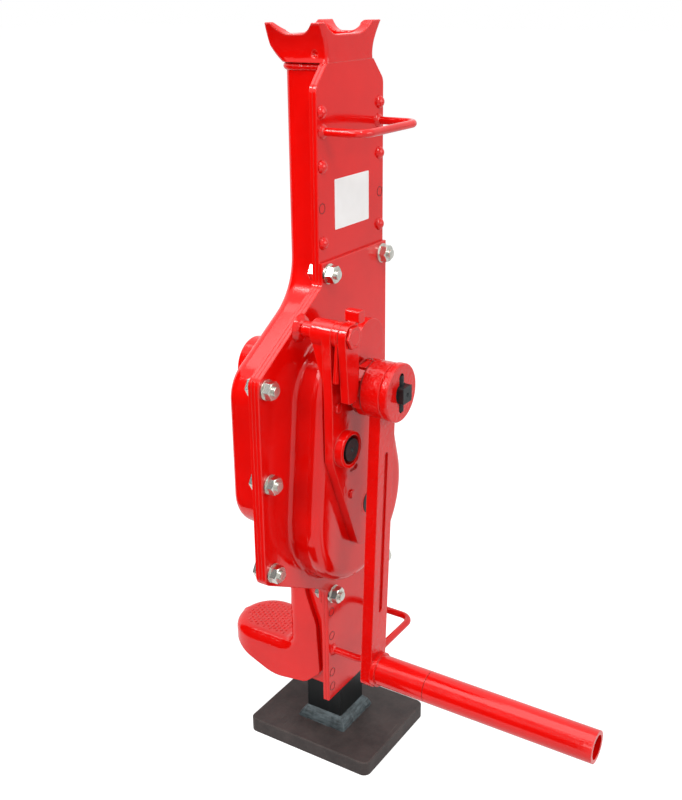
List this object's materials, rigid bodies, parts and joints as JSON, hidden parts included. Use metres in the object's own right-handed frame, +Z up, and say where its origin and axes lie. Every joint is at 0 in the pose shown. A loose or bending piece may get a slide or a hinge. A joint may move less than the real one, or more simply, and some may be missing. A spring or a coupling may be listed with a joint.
{
  "type": "rack and pinion jack",
  "caption": "Hand-cranked steel jack: a red body with a horned head and a lifting claw climbs an upright toothed rack on a square foot.",
  "frame": {"origin": "on the floor under the middle of the foot", "axes": "+Z up along the rack, -Y to the crank side, +Y to the claw side, -X to the gear pocket"},
  "size_m": [0.2475, 0.5, 0.836],
  "materials": {
    "red_enamel": "gloss enamel",
    "mill_scale_steel": "dark mill scale",
    "black_steel": "satin black",
    "weld_steel": "rough weld bead",
    "zinc_steel": "bright zinc plate",
    "gear_steel": "machined, oiled",
    "bronze": "machined",
    "black_oxide_steel": "black oxide",
    "friction_lining": "matte"
  },
  "bodies": {
    "stand": {"base_plate": "mill_scale_steel", "rack": "black_steel", "foot_weld": "weld_steel"},
    "housing": {"rear_housing": "red_enamel", "front_plate": "red_enamel", "gear_cover": "red_enamel", "head": "red_enamel", "head_weld": "red_enamel", "claw": "red_enamel", "upper_bail": "red_enamel", "lower_bail": "red_enamel", "plate_rivets": "red_enamel", "flange_bolts": "zinc_steel", "flange_nuts": "zinc_steel", "flange_washers": "zinc_steel", "rack_guides": "gear_steel", "rear_bosses": "red_enamel", "bearing_bracket": "red_enamel", "bracket_screws": "red_enamel", "input_bushes": "bronze", "layshaft_bushes": "bronze", "pinion_bushes": "bronze", "pawl_pillar": "red_enamel", "pillar_spacer": "red_enamel", "pawl_leaf": "red_enamel", "pillar_nut": "red_enamel"},
    "crank": {"input_shaft": "black_oxide_steel", "cross_pin": "black_oxide_steel", "ratchet_wheel": "red_enamel", "friction_discs": "friction_lining", "crank_arm": "red_enamel", "hub_cap": "red_enamel", "handle_spigot": "red_enamel"},
    "grip": {"grip_sleeve": "red_enamel"},
    "pawl": {"pawl": "red_enamel"},
    "layshaft": {"layshaft": "black_oxide_steel", "first_gear": "gear_steel"},
    "pinion": {"pinion_shaft": "black_oxide_steel", "main_gear": "gear_steel"}
  },
  "joints": [
    {"name": "body_lift", "type": "slide", "parent": "stand", "child": "housing", "axis": [0, 0, 1], "range_m": [-0.036, 0.374]},
    {"name": "pinion_turn", "type": "hinge", "parent": "housing", "child": "pinion", "pos_m": [-0.04471, 0, 0.348], "axis": [0, 1, 0], "range_deg": [-86.9, 893.9]},
    {"name": "layshaft_turn", "type": "hinge", "parent": "housing", "child": "layshaft", "pos_m": [-0.09477, 0, 0.42874], "axis": [0, 1, 0], "range_deg": [-3955.1, 381.6]},
    {"name": "crank_turn", "type": "hinge", "parent": "housing", "child": "crank", "pos_m": [-0.06531, 0, 0.48836], "axis": [0, 1, 0], "range_deg": [-935.2, 9706.5]},
    {"name": "grip_spin", "type": "hinge", "parent": "crank", "child": "grip", "pos_m": [-0.08534, -0.25, 0.16999], "axis": [0, 1, 0], "continuous": true},
    {"name": "pawl_lift", "type": "hinge", "parent": "housing", "child": "pawl", "pos_m": [-0.10501, -0.0865, 0.55246], "axis": [0, 1, 0], "range_deg": [0, 25], "stiffness_Nm_per_rad": 0.5}
  ],
  "couplings": [
    {"joint": "pinion_turn", "follows": "body_lift", "rad_per_m": 41.667},
    {"joint": "layshaft_turn", "follows": "body_lift", "rad_per_m": -184.52},
    {"joint": "crank_turn", "follows": "body_lift", "rad_per_m": 452.92}
  ]
}
